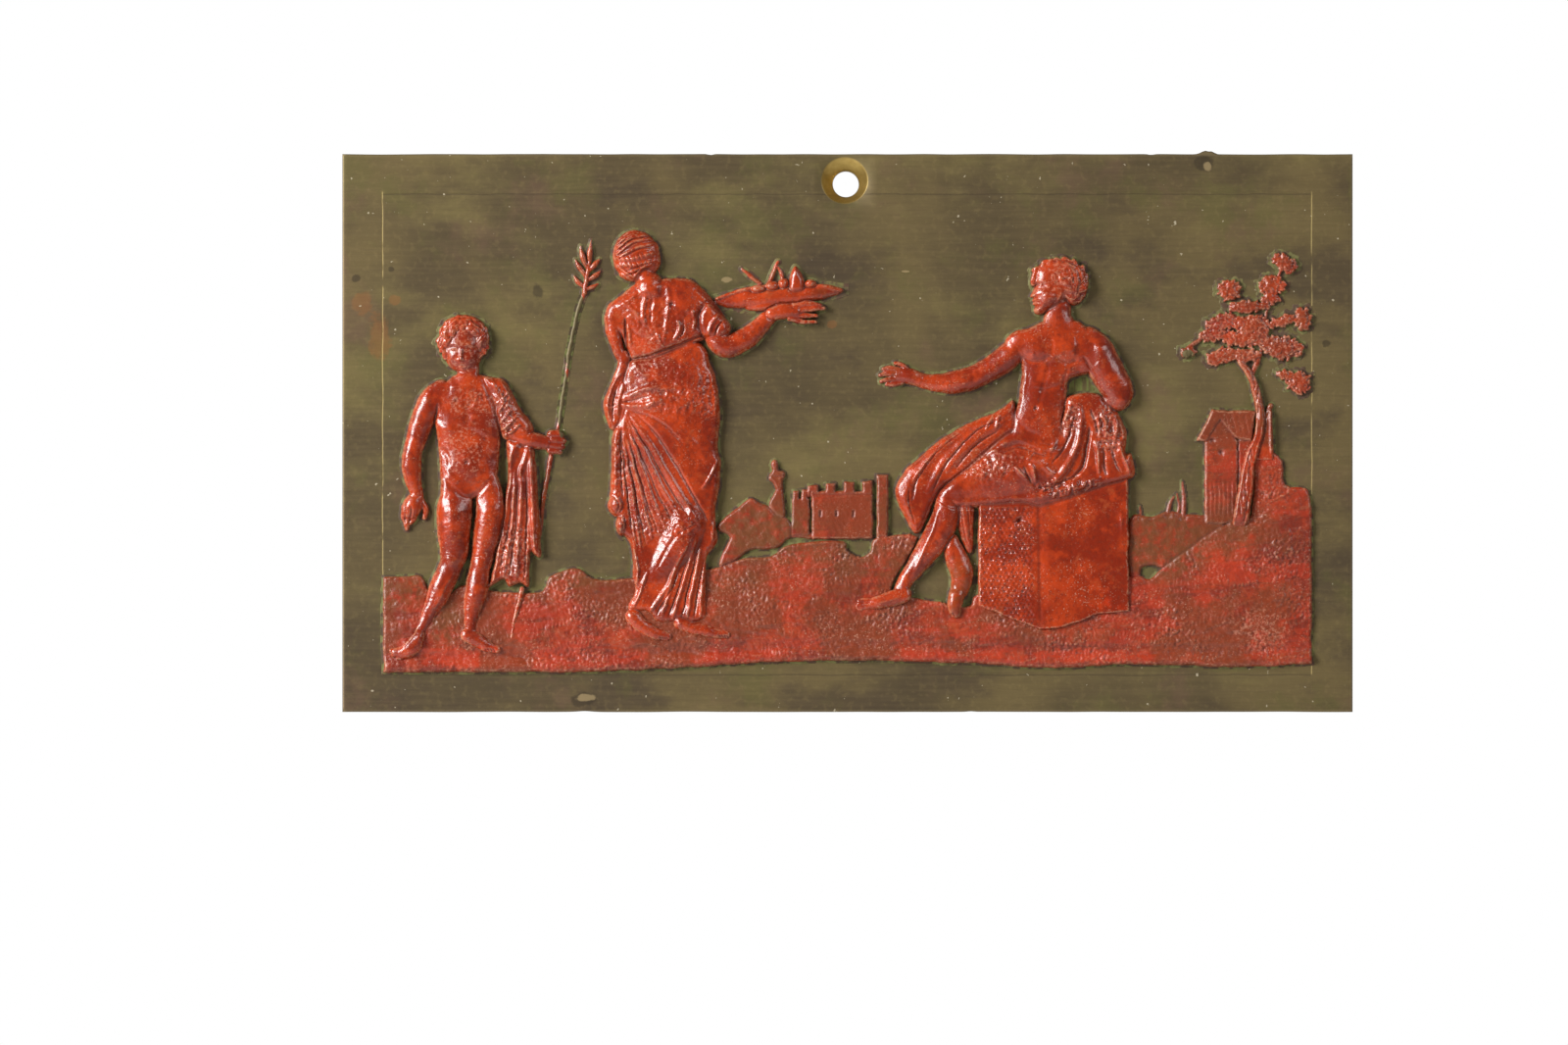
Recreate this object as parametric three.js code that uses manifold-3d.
// A small relief plaque: a brass plate that hangs by one screw, with three figures in a landscape raised
// on its front. Plate and relief are one casting, so they are joined into one solid.
//
// The relief is modelled in its own frame: x to the right, y up, z out of the plate's face, all in
// millimetres from the plate's centre. The finished solid is then stood upright, facing -Y.
import * as THREE from 'three';
import { LoftGeometry } from 'three/addons/geometries/LoftGeometry.js';
import { mergeVertices } from 'three/addons/utils/BufferGeometryUtils.js';
import Module from 'manifold-3d';

// ---------------------------------------------------------------------------------- driving dimensions

const PLATE = { width: 98.2, height: 54.2, thickness: 2.5, edge: 0.2 };
const SCREW = { x: -0.28, y: 24.55, head: 4.5, bore: 2.55, boreX: -0.15, boreY: 24.25, depth: 1.15 };
const ROOT = 0.5; // how far a raised form reaches down into the plate

// Heights above the plate's face.
const RISE = {
  far: 0.32,
  castle: 0.42,
  ground: 0.5,
  lip: 0.72,
  leaf: 0.42,
  cloth: 0.75,
  block: 0.85,
  blockFront: 1,
  body: 0.95,
};
const EDGE = 0.16; // width of the sloping border of a flat raised form
const BROAD_EDGE = 0.32; // the same where the form is thick and soft

// Height of a rounded form over its half-width.
const SWELL = {
  limb: 0.95,
  arm: 0.85,
  rod: 0.8,
  leg: 0.7,
  thigh: 0.5,
  torso: 0.36,
  back: 0.28,
  gable: 1,
  fold: 0.9,
  finger: 1.6,
};

// How far a small form stands in front of the one it lies on.
const LIFT = { frontNose: 1.1, sideNose: 0.35, finger: 0.25, leg: 0.3, stump: 0.4 };
const ARCH = [[-1, 0], [-0.8, 0.62], [0, 1], [0.8, 0.62], [1, 0]]; // cross-section of a raised form
const LIMB_END = { reach: 0.75, narrow: 0.55 }; // shares of a limb's half-width at its last joint
const TRUNK_END = { reach: 0.15, narrow: 0.85 };
const FOLD_TAPER = [[0, 0.05], [0.45, 1], [1, 0.05]]; // way along a fold, share of its width
const EAVES = 0.1; // how far a fold's walls end under the cloth that it lies on
const CLEAR = 1; // how far a cutting or trimming solid reaches past what it cuts
const WELD = 1e-4; // corners closer than this are one corner

// Facets around a rounded form, and from its front to its back.
const SIDES = { leaf: 6, small: 8, mass: 10, mound: 12, bowl: 16, hole: 24 };
const MASS_RINGS = 4;

// The ground: a strip across the whole width, open to the bare plate above its skyline.
const GROUND = {
  bottom: [[-45, -23.3], [-38.5, -23.3], [-28, -23.2], [-18, -22.9], [-9, -22.25], [5, -22.1],
    [14, -22.5], [22, -22.8], [29, -22.35], [36, -22.75], [42, -23.2], [44, -22.6], [45.1, -22]],
  skyline: [[45.1, -6.4], [44.4, -5.4], [42.4, -5.1], [42.1, -2.7], [40.9, -1.8], [39.6, -2.2],
    [39.2, -7.9], [37.2, -8.6], [35.6, -9.3], [34, -10.6], [32.6, -11.8], [31, -12.9], [29.3, -14],
    [28.2, -13.6], [27.4, -14], [20, -14.5], [13, -15.4], [11.8, -16.9], [9.9, -16.6], [7, -16.1],
    [4.3, -15.5], [5, -13.4], [6.6, -10.2], [2.6, -10.1], [2.3, -11.6], [1.6, -12], [-0.2, -11.3],
    [-0.4, -10.5], [-4, -10.6], [-6, -11], [-7.4, -11.9], [-9.6, -12.1], [-13.6, -13.3],
    [-20.7, -14.1], [-24.4, -14.2], [-25.9, -13.3], [-27, -13.2], [-29.2, -14.2], [-29.4, -15.4],
    [-35, -15.3], [-36.4, -14.6], [-37.8, -15], [-38.6, -15.6], [-40.4, -15.6], [-41.4, -14.1],
    [-45.05, -13.9]],
  lipTop: 1.3, // height of the raised lip along the bottom edge
  mounds: [[-8, -17, 5.5, 2.4], [9, -20.2, 9, 1.3], [38, -16.5, 5.5, 3]],
};

const HILLS = {
  middle: [[-12.7, -9.1], [-11, -7.5], [-9.5, -6.4], [-7.7, -7.1], [-6.2, -8.1], [-3.4, -9.7],
    [-3.4, -10.4], [-5.6, -10.2], [-7, -10.8], [-9.6, -10.9], [-11.4, -12.6], [-12.4, -12.7],
    [-11.6, -10.4]],
  right: [[27.6, -8.4], [29.5, -8.2], [31.1, -7.5], [33.4, -7.9], [35.3, -8.6], [35.2, -9.9],
    [33, -11.6], [30.2, -12.9], [27.7, -12.9]],
  watchtower: [[-7.6, -7.4], [-7, -5.6], [-7.8, -4.5], [-7.3, -3.6], [-7.4, -2.9], [-7.05, -2.55],
    [-6.7, -2.9], [-6.7, -3.6], [-6, -3.85], [-6.35, -5.1], [-6.15, -8.2]],
};

const CASTLE = {
  wall: { left: -3.5, right: 2.45, foot: -10.4, top: -5.65 },
  side: { left: -5.3, right: -3.7, foot: -9.9, top: -6.3 },
  tower: { left: 2.75, right: 3.95, foot: -10.4, top: -4.1 },
  merlons: 4,
  merlon: { width: 0.95, height: 0.9 },
  window: { count: 3, x: -2.65, pitch: 1.62, y: -7.8, halfWidth: 0.24, halfHeight: 0.45, steps: 4 },
};

const TREE = {
  trunk: [[38.2, -8.6, 0.85], [38.75, -5, 0.7], [39.1, -2.9, 0.6], [39.95, -0.3, 0.42],
    [40.1, 1.6, 0.45], [39.7, 3.9, 0.38], [39.1, 5.7, 0.36], [38.2, 6.9, 0.3]],
  branches: [[[39.2, 5.6, 0.3], [39.8, 7.2, 0.28]], [[40.2, 1.2, 0.3], [41.1, 2.5, 0.32]],
    [[41.2, 2.3, 0.22], [41.3, -0.9, 0.16]], [[34.4, 9.1, 0.34], [33.2, 8.4, 0.36]]],
  // Clumps of leaves: x, y, half-width, half-height, turn in degrees.
  clumps: [[42.5, 16.5, 1.35, 0.8, -30], [37.1, 13.9, 1.1, 1.05, -20], [41.2, 14.2, 1.25, 1.1, 0],
    [38.9, 12.3, 2, 0.65, 0], [36.4, 10.7, 1.7, 0.8, 15],
    [39.4, 10.5, 2, 0.95, 0], [35.7, 9.6, 1.4, 0.75, 10], [38.9, 9.2, 2.6, 0.95, 0],
    [33.1, 7.7, 0.7, 0.5, 20], [36.4, 7.4, 1.6, 0.85, 15], [38.6, 7.6, 1.7, 0.75, 0],
    [42.2, 8.2, 2.2, 1.25, -5], [42.4, 10.9, 1.5, 0.6, 15],
    [44.2, 11, 0.85, 1.2, 0], [43.9, 4.9, 1.25, 1.25, 25], [42.7, 5.6, 1, 0.5, -10]],
};

const HUT = {
  front: [[34.7, -8.6], [34.7, -0.6], [36.2, 1.6], [37.9, -0.7], [37.9, -8.6]],
  side: [[37.9, -8.6], [37.9, -0.6], [39.6, -0.6], [38.9, -8.6]],
  roof: [[33.9, -0.75], [35.4, 2.25], [39.7, 2.15], [39.3, -0.8], [37.6, -0.45], [36.2, 1.3],
    [34.9, -0.9]],
  // Bushes: x, y, half-width, height, lean in degrees.
  bushes: [[32.6, -7.9, 0.3, 3, 0], [31.2, -7.5, 0.25, 1.4, 12], [28.4, -8.2, 0.16, 0.9, 0]],
  bushRoot: 0.4,
};

const BOY = {
  face: [-37.05, 8.1, 1.75, 2.3, 1.25],
  hair: [[-37.3, 9.6, 2.1, 1.6], [-39.2, 9.3, 0.95, 1.05], [-39.2, 8.1, 0.75, 0.8],
    [-38.7, 10.3, 0.85, 0.7], [-35.4, 9.5, 0.75, 0.9], [-35.2, 8.2, 0.55, 0.9]],
  hairRise: 1.15,
  nose: [[-37.1, 9, 0.2], [-37.05, 7.9, 0.32]],
  neck: [[-36.9, 6.4, 1.05], [-36.8, 4.8, 1.3]],
  torso: [[-37, 5.3, 1.8], [-37.2, 4.2, 3.4], [-36.8, 2, 3.4], [-36.7, -0.4, 3.3], [-36.7, -2.6, 2.75],
    [-36.5, -4.9, 2.9], [-36.3, -6, 2.2]],
  chest: [[-38.5, 0.2, 1.6, 1.3, 1.45], [-35.9, 0.1, 1.5, 1.3, 1.4]],
  belly: [-37, -3.2, 1.9, 2.1, 1.5],
  nearArm: [[-40.6, 2.9, 1.15], [-41.6, 0.5, 1.05], [-42.35, -2, 0.97], [-42.3, -3.7, 0.92],
    [-41.9, -5.9, 0.7], [-42.2, -7.2, 0.95], [-42.85, -8.6, 0.45]],
  thumb: [[-41.4, -6.6, 0.42], [-41, -8, 0.3]],
  farArm: [[-31.6, -0.5, 0.85], [-29.2, -0.9, 0.75]],
  fist: [-28.15, -0.95, 0.78, 1.15, 0.95],
  leftLeg: [[-38.1, -6.2, 1.7], [-38.3, -9.6, 1.6], [-38.5, -12.8, 1.15], [-39.4, -14.8, 1.15],
    [-40.4, -16.9, 0.9], [-41.6, -19.3, 0.55]],
  leftFoot: [[-41.9, -19.9, 0.75], [-42.4, -21.2, 0.8]],
  leftToes: [[-42.6, -21.1, 0.6], [-43.9, -21.2, 0.45]],
  rightLeg: [[-34.8, -5.8, 1.35], [-35, -9, 1.3], [-35.6, -12.8, 1], [-36.1, -15.3, 1.05],
    [-36.6, -17.6, 0.82], [-36.6, -19.2, 0.68]],
  rightFoot: [[-37.1, -19.7, 0.62], [-35.9, -20.2, 0.72], [-34.3, -20.9, 0.5]],
  cloak: [[-35.2, 5.5], [-33.3, 5.1], [-31.9, 2.5], [-30.5, 0.8], [-30.6, -1.6], [-30.1, -5],
    [-29.8, -11.8], [-30.5, -11.9], [-31, -14.8], [-32, -14.5], [-32.8, -14.9], [-33.5, -14.1],
    [-34.8, -14.9], [-34.2, -12.3], [-33.4, -8.6], [-33, -4.4], [-33.6, -1.4], [-34.6, 1.4],
    [-35.4, 3.6]],
  // Folds: ridges given as start and end x, y, and half-width.
  folds: [[-34, 4.7, -31.2, 0.6, 0.35], [-34.9, 3.2, -32.2, -0.6, 0.32], [-31.3, 0.2, -33, -3.7, 0.6],
    [-32.9, -4.4, -34.2, -13.6, 0.3], [-32.2, -4, -32.9, -14, 0.34], [-31.5, -2.6, -31.7, -14, 0.35],
    [-30.7, -2, -30.5, -11.6, 0.42]],
};

const STAFF = {
  upper: [[-25.6, 13.6, 0.2], [-26.2, 11.8, 0.2], [-27, 8.2, 0.2], [-27.6, 4, 0.2], [-28.2, 0.2, 0.2]],
  lower: [[-28.8, -1.9, 0.2], [-29.5, -6.2, 0.2], [-29.9, -9.9, 0.18]],
  stump: [[-31.6, -15.2, 0.4], [-32.3, -18, 0.4], [-32.5, -19.8, 0.35]],
  stem: [[-25.2, 16.4, 0.2], [-25.6, 13.6, 0.24]],
  // Leaves: root and tip.
  leaves: [[-25.1, 16.4, -24.95, 18.6], [-25.4, 16, -25.95, 18.1], [-25.5, 15.1, -26.4, 16.7],
    [-25.2, 15.6, -24.1, 16.9], [-25.3, 14.8, -24.1, 15.6], [-25.5, 13.9, -24.3, 14.5],
    [-25.6, 14.2, -26.6, 15.1]],
  leafWidth: 0.26,
};

const WOMAN = {
  head: [-20.5, 17.2, 2.35, 2.5, 1.35],
  face: [-18.9, 16.9, 1.1, 1.45, 1.1],
  nose: [[-18.2, 17.2, 0.18], [-17.85, 16.75, 0.26]],
  bun: [-22, 16.2, 1.1, 1.3, 1.2],
  neck: [[-19.8, 15.4, 1.05], [-19.1, 14.3, 1.5]],
  back: [[-19.8, 15.1], [-15.3, 15], [-13.3, 13.2], [-12.1, 11.6], [-11.7, 10.3], [-12.4, 9.3],
    [-13.8, 9.2], [-14.1, 7.6], [-20.9, 6.8], [-21.9, 8.4], [-22.4, 10.2], [-23.4, 11.3],
    [-22.8, 12.8], [-21.6, 13.9]],
  spine: [[-18.2, 14.8, 2], [-17.6, 13.4, 3.9], [-17.5, 11.6, 4.8], [-17.4, 9.6, 4.4], [-17.7, 8, 3.4]],
  backFolds: [[-18.9, 14.2, -19.6, 7.9, 0.45], [-17.6, 14.2, -17.9, 8.4, 0.4],
    [-16.6, 13.6, -16.4, 8.9, 0.35], [-15.4, 13.4, -15.6, 9.3, 0.32], [-14.6, 13.2, -14.1, 9.8, 0.3],
    [-20.6, 12.6, -20.9, 7.6, 0.35]],
  belt: [[-21.1, 7.05, 0.16], [-18.9, 7.6, 0.2], [-16.4, 8.6, 0.2], [-13.1, 9.75, 0.16]],
  beltFloor: 0.6,
  leftArm: [[-22.9, 11, 0.7], [-22.4, 8, 0.62], [-21.8, 6.5, 0.5]],
  bunch: [[-21.8, 6.1], [-22.8, 5], [-23.7, 3.6], [-23.85, 2.5], [-23.4, 0.8], [-22.6, 0.2],
    [-22.2, 2.4], [-21.9, 4.2]],
  rightArm: [[-13.4, 10.2, 1.25], [-12.2, 8.1, 1.15], [-10, 9, 1.1], [-8.3, 10.6, 0.78],
    [-7.2, 11.6, 0.62]],
  hand: [[-7.2, 11.6, 0.62], [-5.6, 11.75, 0.68], [-4.4, 11.8, 0.5]],
  fingers: [[-4.6, 12.3, -2.6, 12.45, 0.22], [-4.6, 11.8, -2.4, 12, 0.24], [-5, 11, -3.2, 10.75, 0.22]],
  hips: [[-21, 6.9], [-22, 5], [-22.2, 2.4], [-22.9, -0.5], [-23, -5], [-23.4, -6.9], [-22.6, -8.1],
    [-22, -9.8], [-21, -11], [-20.9, -14], [-20.4, -15.5], [-21.4, -17.1], [-19.2, -17.5],
    [-18, -18.6], [-14, -18.2], [-13.6, -15], [-13.8, -12.2], [-12.8, -11], [-12.7, -9.6],
    [-12.9, -8], [-12.4, -4.5], [-12.6, -0.8], [-12.3, 1.6], [-12.6, 4.8], [-13.4, 6.8], [-14.2, 8.2]],
  skirt: [[-17.6, 6.2, 3.4], [-17.2, 3.6, 4.4], [-17, -1, 4], [-16.8, -6, 3.4], [-16.6, -9, 3]],
  calf: [[-16, -9.6, 2.2], [-17.7, -12.2, 1.7], [-19.8, -16, 0.9]],
  knot: [[-22.3, -6.9, 1.05, 1.1, 1.1], [-21.8, -8.8, 0.7, 1.1, 0.95]],
  // Folds that run out of the gathered cloth at the hip.
  hipFolds: [[-22, 2.9, -18.2, 4.3, 0.35], [-22, 2.4, -18.6, -1.6, 0.4], [-19, -0.6, -13.3, -9.2, 0.42],
    [-22.1, 2.3, -19, -8.6, 0.4], [-22.2, 2.2, -20.2, -12, 0.42], [-22.3, 2, -21, -13.6, 0.4],
    [-22.6, 1, -22.5, -5.6, 0.42], [-18.4, -2.6, -16.6, -8.4, 0.35], [-14.6, -10.6, -14, -17.4, 0.32],
    [-15, -12.4, -16.3, -17.8, 0.36]],
  feet: [[[-20.8, -18.1, 0.85], [-18.6, -19.4, 0.6]], [[-16, -18.7, 0.8], [-13, -19.3, 0.6]]],
};

const DISH = {
  bowl: [-6.75, 13.3, 6.3, 0.95, 0.75, 5.4],
  rim: [-6.75, 13.75, 5.6, 0.4, 0.9, 5.4],
  fruit: [[-5.2, 16.2], [-4.6, 15.6], [-4.2, 14.7], [-4.4, 13.7], [-5.7, 13.6], [-5.65, 14.7]],
  sprigs: [[[-6.7, 16.5, 0.2], [-7.2, 15.4, 0.24], [-7.8, 14, 0.26]],
    [[-10.1, 15.8, 0.16], [-8.6, 14.6, 0.2]]],
};

const MAN = {
  head: [20.7, 14.5, 2.35, 2.35, 1.35],
  jaw: [19.5, 13.1, 1.55, 1.7, 1.2],
  nose: [[18.3, 14.2, 0.2], [17.95, 13.5, 0.28]],
  chin: [18.75, 11.95, 0.55, 0.5, 0.95],
  curls: { x: 20.6, y: 14.5, rx: 2.25, ry: 2.15, size: 0.72, rise: 1.2, from: -58, to: 160, count: 9 },
  innerCurls: { x: 20.8, y: 14.7, rx: 1.3, ry: 1.25, size: 0.7, rise: 1.6, from: -20, to: 165, count: 4 },
  neck: [[20.3, 12, 1.25], [20.6, 10.2, 1.5]],
  torso: [[20.8, 10.6, 2], [20.7, 9.4, 4.2], [20.1, 7.6, 3.3], [19.3, 5, 2.5], [19, 3, 2.45],
    [18.4, 1, 2.8], [18.2, -0.8, 2.4]],
  chest: [[18.6, 8.1, 1.6, 1.4, 1.4], [21.6, 8.2, 1.7, 1.4, 1.4]],
  belly: [18.6, 2, 1.8, 2, 1.35],
  farArm: [[16.5, 8.6, 1.25], [14.4, 6.7, 1.2], [12, 5.3, 1.15], [9.4, 4.9, 0.95], [7.2, 4.95, 0.8]],
  hand: [[7, 5.3, 0.95], [5.6, 5.6, 0.85], [4.4, 5.6, 0.6]],
  fingers: [[5, 6.1, 3.4, 5.9, 0.24], [5, 5.5, 3.2, 5.3, 0.24], [5.6, 4.7, 4, 4.8, 0.22]],
  nearArm: [[24.1, 8.4, 1.5], [24.9, 6.8, 1.45], [26, 4.9, 1.3], [26.6, 3.4, 1.15], [25, 3, 0.85]],
  flank: [[21.4, 8, 1.4], [22.4, 6.2, 0.9]],
  swag: [[16, 2.9], [13.6, 1.7], [10.2, 0.1], [7.8, -1.6], [5.6, -3.6], [4.6, -5.2], [5, -7.2],
    [6.5, -9.6], [7.6, -9.2], [8.6, -6.8], [12, -4.4], [15.8, -1]],
  swagFolds: [[14.8, 2, 10.6, -3.4, 0.38], [12.2, 0.8, 7.8, -4.8, 0.38], [9, -1.2, 5.8, -6.2, 0.36]],
  lap: [[15, -0.4], [17.6, -0.3], [20.6, -1.2], [21.4, 2.4], [23, 3], [25.8, 2.1], [27, 0],
    [27.1, -2], [27.9, -4.1], [25, -5.2], [22, -6.2], [18.6, -7.4], [15.6, -6.9], [11.2, -7.1],
    [8.9, -6.4], [9.2, -5.1], [12, -3]],
  thigh: [[19.4, -3.2, 2.4], [14.6, -3.9, 2.6], [11, -5, 1.9], [9.6, -5.7, 1.1]],
  lapFolds: [[21.6, 2.6, 19, -3.4, 0.38], [23.2, 1.6, 22.6, -3.8, 0.35], [24.2, 1.8, 25, -4, 0.4],
    [25.8, 1.2, 26.9, -3.8, 0.42], [24.2, -4.6, 17.8, -6.9, 0.42], [16.6, -1, 12, -4.2, 0.4],
    [19.2, -1.8, 14.4, -4.8, 0.4]],
  shin: [[9.8, -6.4, 1.25], [9.2, -8.8, 1.4], [7.9, -11.2, 1.25], [6.4, -13.2, 0.95], [5.2, -15.1, 0.7]],
  foot: [[5.5, -15.8, 0.7], [3.4, -16.2, 0.72], [1.4, -16.8, 0.45]],
  farCloth: [[10.9, -7, 0.6], [11.7, -10.6, 0.55]],
  farShin: [[10.2, -11.6, 0.85], [11.1, -14.4, 0.95], [10.4, -16.8, 0.6]],
  farFoot: [[10, -17.2, 0.6], [8.5, -18.8, 0.5]],
};

const BLOCK = {
  rough: [[12.7, -6.4], [18.3, -6.6], [18.6, -19.1], [12.7, -16.9]],
  smooth: [[18.5, -6.6], [27.2, -5], [27.35, -17.4], [24.3, -17.7], [20.6, -19], [18.5, -19.1]],
};

const BRASS = { color: 0x64543c, roughness: 0.5, metalness: 0.85 };

// --------------------------------------------------------------------------------------- solid modelling

const wasm = await Module();
wasm.setup();

// A closed geometry as a solid that can be joined and cut.
function toSolid(geometry) {
  const bare = geometry.index ? geometry.toNonIndexed() : geometry.clone();
  bare.deleteAttribute('normal');
  bare.deleteAttribute('uv');
  const merged = mergeVertices(bare, WELD);
  return new wasm.Manifold(new wasm.Mesh({
    numProp: 3,
    vertProperties: new Float32Array(merged.attributes.position.array),
    triVerts: new Uint32Array(merged.index.array),
  }));
}

function toGeometry(solid) {
  const mesh = solid.getMesh();
  const geometry = new THREE.BufferGeometry();
  geometry.setAttribute('position', new THREE.BufferAttribute(new Float32Array(mesh.vertProperties), 3));
  geometry.setIndex(new THREE.BufferAttribute(new Uint32Array(mesh.triVerts), 1));
  geometry.computeVertexNormals();
  return geometry;
}

function join(solids) {
  return solids.reduce((whole, solid) => whole.add(solid));
}

// ------------------------------------------------------------------------------------------ raised forms

// The arched cross-section of a raised form: from its foot in the plate over the crown and down again.
function arch(centre, across, halfWidth, rise) {
  return ARCH.map(([side, up]) => new THREE.Vector3(
    centre.x + across.x * side * halfWidth,
    centre.y + across.y * side * halfWidth,
    (rise + ROOT) * up - ROOT,
  ));
}

// A limb through joints [x, y, half-width]. Its ends are rounded, or cut short where it is a trunk.
function limb(joints, { full = SWELL.limb, lift = 0, end = LIMB_END } = {}) {
  const points = joints.map(([x, y]) => new THREE.Vector2(x, y));
  const last = points.length - 1;
  const along = points.map((_, i) => {
    return points[Math.min(i + 1, last)].clone().sub(points[Math.max(i - 1, 0)]).normalize();
  });
  const section = (i, beyond, narrow) => {
    const radius = joints[i][2];
    const centre = points[i].clone().addScaledVector(along[i], beyond * radius);
    const across = new THREE.Vector2(-along[i].y, along[i].x);
    return arch(centre, across, radius * narrow, lift + radius * full * narrow);
  };
  const middle = points.map((_, i) => section(i, 0, 1));
  const sections = [section(0, -end.reach, end.narrow), ...middle, section(last, end.reach, end.narrow)];
  return toSolid(new LoftGeometry(sections.map((ring) => ring.reverse()), { capStart: true, capEnd: true }));
}

// A ridge that thins out to a point at both ends: a fold of cloth, a leaf or a strand. Its section is a
// gable, whose walls stand on the plate and end just under the given height.
function fold([x1, y1, x2, y2, width], { full = SWELL.gable, lift = 0 } = {}) {
  const start = new THREE.Vector2(x1, y1);
  const end = new THREE.Vector2(x2, y2);
  const along = end.clone().sub(start).normalize();
  const eaves = lift - EAVES;
  const sections = FOLD_TAPER.map(([way, share]) => {
    const centre = start.clone().lerp(end, way);
    const side = new THREE.Vector2(-along.y, along.x).multiplyScalar(width * share);
    return [
      new THREE.Vector3(centre.x - side.x, centre.y - side.y, -ROOT),
      new THREE.Vector3(centre.x + side.x, centre.y + side.y, -ROOT),
      new THREE.Vector3(centre.x + side.x, centre.y + side.y, eaves),
      new THREE.Vector3(centre.x, centre.y, lift + width * full * share),
      new THREE.Vector3(centre.x - side.x, centre.y - side.y, eaves),
    ];
  });
  return toSolid(new LoftGeometry(sections, { capStart: true, capEnd: true }));
}

// A rounded mass: half an ellipsoid standing on the plate.
function mass([x, y, halfWidth, halfHeight, rise], { turn = 0, sides = SIDES.mass } = {}) {
  const geometry = new THREE.SphereGeometry(1, sides, MASS_RINGS);
  geometry.rotateX(Math.PI / 2);
  geometry.scale(halfWidth, halfHeight, rise);
  geometry.rotateZ(THREE.MathUtils.degToRad(turn));
  geometry.translate(x, y, 0);
  return toSolid(geometry);
}

// A flat form between two heights, with its corners bevelled, from its outline.
function slab(outline, back, front, edge) {
  const shape = new THREE.Shape(outline.map(([x, y]) => new THREE.Vector2(x, y)));
  const geometry = new THREE.ExtrudeGeometry(shape, {
    depth: front - back - 2 * edge,
    bevelEnabled: true,
    bevelThickness: edge,
    bevelSize: edge,
    bevelOffset: -edge,
    bevelSegments: 1,
  });
  geometry.translate(0, 0, back + edge);
  return toSolid(geometry);
}

// A flat raised form with a sloping border.
function sheet(outline, rise, edge = EDGE) {
  return slab(outline, -ROOT, rise, edge);
}

// A ring of curls about a head.
function ring({ x, y, rx, ry, size, rise, from, to, count }) {
  const step = (to - from) / (count - 1);
  const curls = Array.from({ length: count }, (_, i) => {
    const angle = THREE.MathUtils.degToRad(from + step * i);
    return [x + rx * Math.cos(angle), y + ry * Math.sin(angle), size, size, rise];
  });
  return join(curls.map((curl) => mass(curl, { sides: SIDES.leaf })));
}

// Folds on a sheet of cloth that stands at a given height, trimmed to the cloth's outline.
function foldsOn(cloth, list, base) {
  const folds = join(list.map((line) => fold(line, { full: SWELL.fold, lift: base })));
  return folds.intersect(sheet(cloth, base + CLEAR));
}

// ---------------------------------------------------------------------------------------------- sub-forms

function plate() {
  const x = PLATE.width / 2;
  const y = PLATE.height / 2;
  return slab([[-x, -y], [x, -y], [x, y], [-x, y]], -PLATE.thickness, 0, PLATE.edge);
}

// The countersunk screw hole. The bore was drilled a little to one side of its countersink.
function screwHole() {
  const boreRadius = SCREW.bore / 2;
  const boreLength = PLATE.thickness + 2 * CLEAR;
  const sink = new THREE.LatheGeometry([
    new THREE.Vector2(0, -SCREW.depth),
    new THREE.Vector2(boreRadius, -SCREW.depth),
    new THREE.Vector2(SCREW.head / 2, 0),
    new THREE.Vector2(SCREW.head / 2, CLEAR),
    new THREE.Vector2(0, CLEAR),
  ], SIDES.hole);
  const bore = new THREE.CylinderGeometry(boreRadius, boreRadius, boreLength, SIDES.hole);
  sink.rotateX(Math.PI / 2);
  sink.translate(SCREW.x, SCREW.y, 0);
  bore.rotateX(Math.PI / 2);
  bore.translate(SCREW.boreX, SCREW.boreY, -PLATE.thickness / 2);
  return toSolid(sink).add(toSolid(bore));
}

function ground() {
  const strip = sheet([...GROUND.bottom, ...GROUND.skyline], RISE.ground);
  const lip = [...GROUND.bottom, ...GROUND.bottom.map(([x, y]) => [x, y + GROUND.lipTop]).reverse()];
  const mounds = GROUND.mounds.map(([x, y, rx, ry]) => {
    return mass([x, y, rx, ry, RISE.lip], { sides: SIDES.mound });
  });
  return join([strip, sheet(lip, RISE.lip, BROAD_EDGE), ...mounds]);
}

function hills() {
  return join([
    sheet(HILLS.middle, RISE.far),
    sheet(HILLS.right, RISE.far),
    sheet(HILLS.watchtower, RISE.castle),
  ]);
}

function tower({ left, right, foot, top }) {
  return sheet([[left, foot], [right, foot], [right, top], [left, top]], RISE.castle);
}

function castle() {
  const { wall, merlon, merlons, window } = CASTLE;
  const gap = (wall.right - wall.left - merlons * merlon.width) / (merlons - 1);
  const battlement = Array.from({ length: merlons }, (_, i) => {
    const left = wall.left + i * (merlon.width + gap);
    const right = left + merlon.width;
    return tower({ left, right, foot: wall.top - merlon.height, top: wall.top + merlon.height });
  });
  const side = CASTLE.side;
  const sideTop = { ...side, right: side.left + merlon.width, top: side.top + merlon.height };
  const windows = Array.from({ length: window.count }, (_, i) => {
    const hole = new THREE.Shape();
    const x = window.x + i * window.pitch;
    hole.absellipse(x, window.y, window.halfWidth, window.halfHeight, 0, 2 * Math.PI);
    const options = { depth: CLEAR, bevelEnabled: false, curveSegments: window.steps };
    return toSolid(new THREE.ExtrudeGeometry(hole, options));
  });
  const walls = join([tower(wall), tower(side), tower(sideTop), tower(CASTLE.tower), ...battlement]);
  return walls.subtract(join(windows));
}

function tree() {
  const clumps = TREE.clumps.map(([x, y, rx, ry, turn]) => {
    return mass([x, y, rx, ry, RISE.leaf], { turn, sides: SIDES.leaf });
  });
  const branches = TREE.branches.map((joints) => limb(joints));
  return join([limb(TREE.trunk), ...branches, ...clumps]);
}

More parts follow.
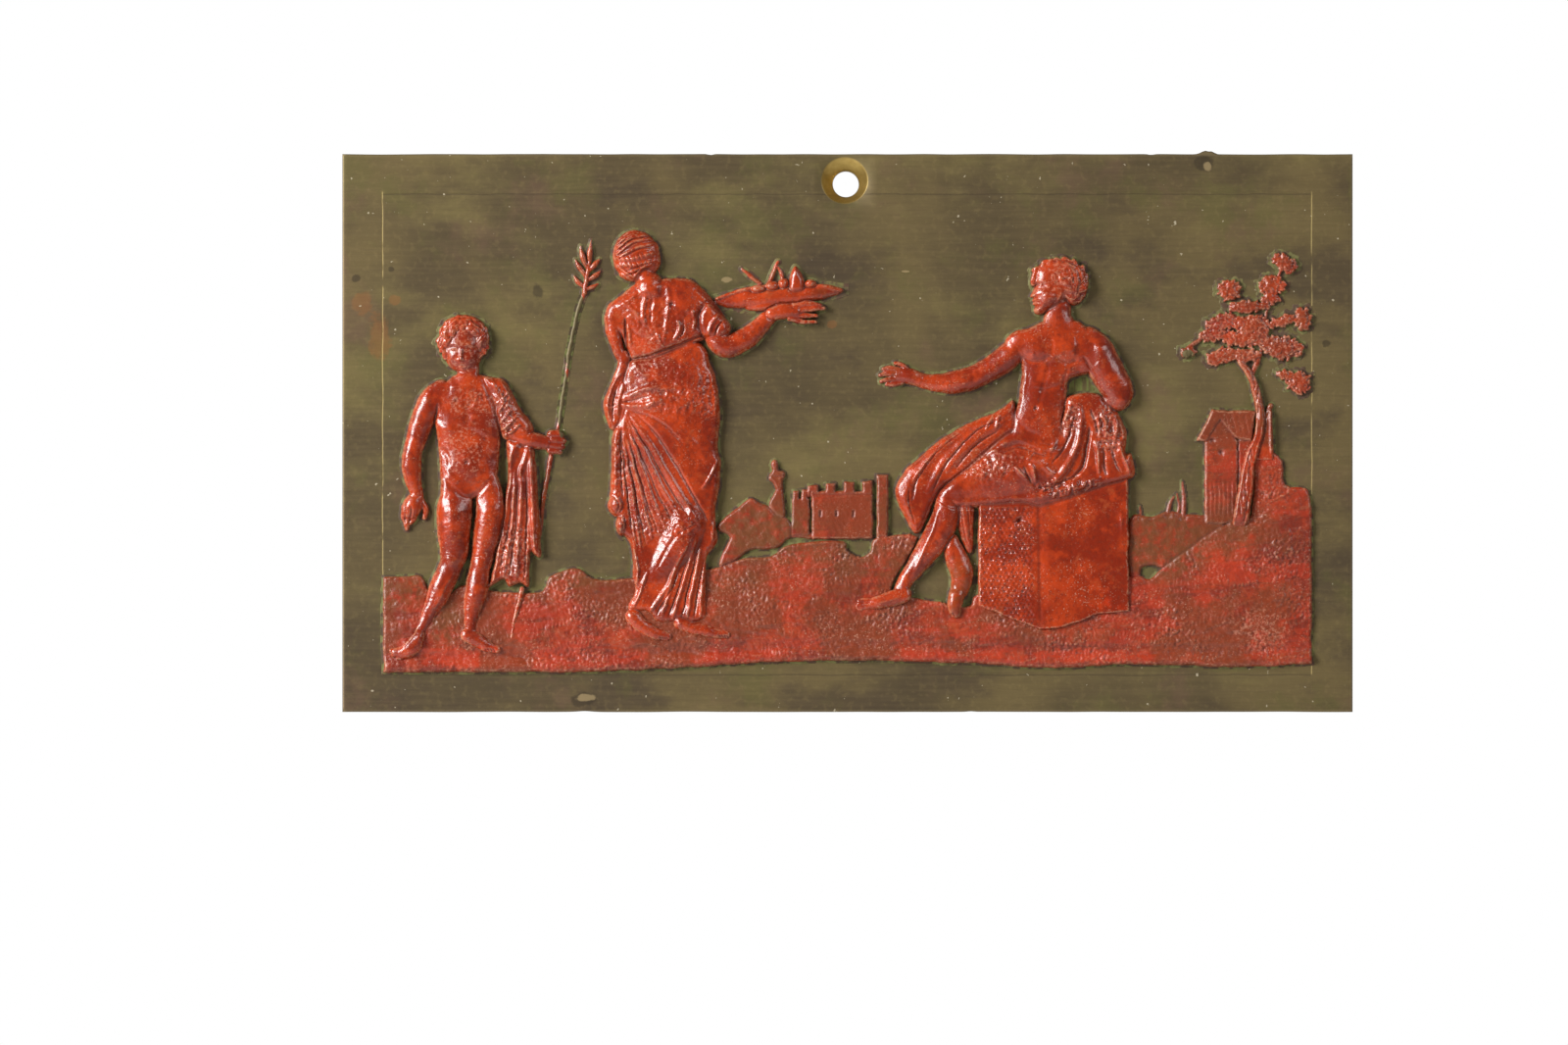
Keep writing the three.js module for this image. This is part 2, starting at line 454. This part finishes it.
function hut() {
  const bushes = HUT.bushes.map(([x, y, width, height, lean]) => {
    const shift = height * Math.sin(THREE.MathUtils.degToRad(lean));
    return fold([x, y - HUT.bushRoot, x - shift, y + height, width]);
  });
  return join([
    sheet(HUT.front, RISE.castle),
    sheet(HUT.side, RISE.far),
    sheet(HUT.roof, RISE.ground),
    ...bushes,
  ]);
}

function staff() {
  const leaves = STAFF.leaves.map((leaf) => fold([...leaf, STAFF.leafWidth], { full: SWELL.fold }));
  const rods = [STAFF.upper, STAFF.lower, STAFF.stem].map((joints) => limb(joints, { full: SWELL.rod }));
  const stump = limb(STAFF.stump, { lift: LIFT.stump });
  return join([...rods, stump, ...leaves]);
}

function boy() {
  const head = [
    mass(BOY.face),
    ...BOY.hair.map((lock) => mass([...lock, BOY.hairRise], { sides: SIDES.small })),
    limb(BOY.nose, { lift: LIFT.frontNose }),
    limb(BOY.neck),
  ];
  const body = [
    limb(BOY.torso, { full: SWELL.torso, end: TRUNK_END }),
    ...BOY.chest.map((muscle) => mass(muscle)),
    mass(BOY.belly),
  ];
  const limbs = [BOY.nearArm, BOY.thumb, BOY.farArm].map((joints) => limb(joints));
  const legs = [BOY.leftLeg, BOY.leftFoot, BOY.leftToes, BOY.rightLeg, BOY.rightFoot]
    .map((joints) => limb(joints, { lift: LIFT.leg }));
  const fist = mass(BOY.fist, { sides: SIDES.small });
  const cloak = [sheet(BOY.cloak, RISE.cloth), foldsOn(BOY.cloak, BOY.folds, RISE.cloth)];
  return join([...head, ...body, ...limbs, ...legs, fist, ...cloak]);
}

function woman() {
  const head = [
    mass(WOMAN.head),
    mass(WOMAN.face, { sides: SIDES.small }),
    mass(WOMAN.bun, { sides: SIDES.small }),
    limb(WOMAN.neck),
    limb(WOMAN.nose, { lift: LIFT.sideNose }),
  ];
  const back = [
    sheet(WOMAN.back, RISE.cloth, BROAD_EDGE),
    limb(WOMAN.spine, { full: SWELL.back, end: TRUNK_END }),
    foldsOn(WOMAN.back, WOMAN.backFolds, RISE.body),
  ];
  const skirt = [
    sheet(WOMAN.hips, RISE.cloth, BROAD_EDGE),
    limb(WOMAN.skirt, { full: SWELL.back, end: TRUNK_END }),
    sheet(WOMAN.bunch, RISE.cloth),
    ...WOMAN.knot.map((round) => mass(round, { sides: SIDES.small })),
    limb(WOMAN.calf, { full: SWELL.leg }),
    foldsOn(WOMAN.hips, WOMAN.hipFolds, RISE.body),
  ];
  const limbs = [WOMAN.leftArm, WOMAN.rightArm, WOMAN.hand].map((joints) => limb(joints));
  const feet = WOMAN.feet.map((joints) => limb(joints, { lift: LIFT.leg }));
  const fingers = WOMAN.fingers.map((finger) => fold(finger, { full: SWELL.finger, lift: LIFT.finger }));
  const belt = limb(WOMAN.belt, { lift: CLEAR }).translate([0, 0, ROOT + WOMAN.beltFloor]);
  return join([...head, ...back, ...skirt, ...limbs, ...feet, ...fingers]).subtract(belt);
}

function dish() {
  const [x, y, rx, ry, rise, turn] = DISH.bowl;
  const [rimX, rimY, rimRx, rimRy, rimRise] = DISH.rim;
  return join([
    mass([x, y, rx, ry, rise], { turn, sides: SIDES.bowl }),
    mass([rimX, rimY, rimRx, rimRy, rimRise], { turn, sides: SIDES.mound }),
    sheet(DISH.fruit, RISE.cloth),
    ...DISH.sprigs.map((joints) => limb(joints)),
  ]);
}

function seatedMan() {
  const head = [
    mass(MAN.head),
    mass(MAN.jaw),
    mass(MAN.chin, { sides: SIDES.small }),
    limb(MAN.nose, { lift: LIFT.sideNose }),
    ring(MAN.curls),
    ring(MAN.innerCurls),
    limb(MAN.neck),
  ];
  const torso = [
    limb(MAN.torso, { full: SWELL.torso, end: TRUNK_END }),
    limb(MAN.flank),
    ...MAN.chest.map((muscle) => mass(muscle)),
    mass(MAN.belly),
  ];
  const arms = [MAN.farArm, MAN.hand, MAN.nearArm].map((joints) => limb(joints, { full: SWELL.arm }));
  const legs = [MAN.shin, MAN.foot, MAN.farCloth, MAN.farShin, MAN.farFoot]
    .map((joints) => limb(joints, { full: SWELL.leg, lift: LIFT.leg }));
  const fingers = MAN.fingers.map((finger) => fold(finger, { full: SWELL.finger, lift: LIFT.finger }));
  const cloth = [
    sheet(MAN.swag, RISE.cloth),
    foldsOn(MAN.swag, MAN.swagFolds, RISE.cloth),
    sheet(MAN.lap, RISE.cloth, BROAD_EDGE),
    limb(MAN.thigh, { full: SWELL.thigh, end: TRUNK_END }),
    foldsOn(MAN.lap, MAN.lapFolds, RISE.body),
  ];
  return join([...head, ...torso, ...arms, ...legs, ...fingers, ...cloth]);
}

function block() {
  return join([
    sheet(BLOCK.rough, RISE.block),
    sheet(BLOCK.smooth, RISE.blockFront),
  ]);
}

// --------------------------------------------------------------------------------------------- the plaque

function patinatedBrass() {
  return new THREE.MeshStandardMaterial(BRASS);
}

function plaque() {
  const landscape = join([ground(), hills(), castle(), hut(), tree(), block()]);
  const figures = join([staff(), boy(), dish(), woman(), seatedMan()]);
  const whole = plate().add(landscape).add(figures).subtract(screwHole());
  const geometry = toGeometry(whole);
  geometry.rotateX(Math.PI / 2);
  geometry.translate(0, -PLATE.thickness, 0);
  const mesh = new THREE.Mesh(geometry, patinatedBrass());
  mesh.name = 'plaque';
  return mesh;
}

const group = new THREE.Group();
group.name = 'relief_plaque';
group.add(plaque());

export default group;
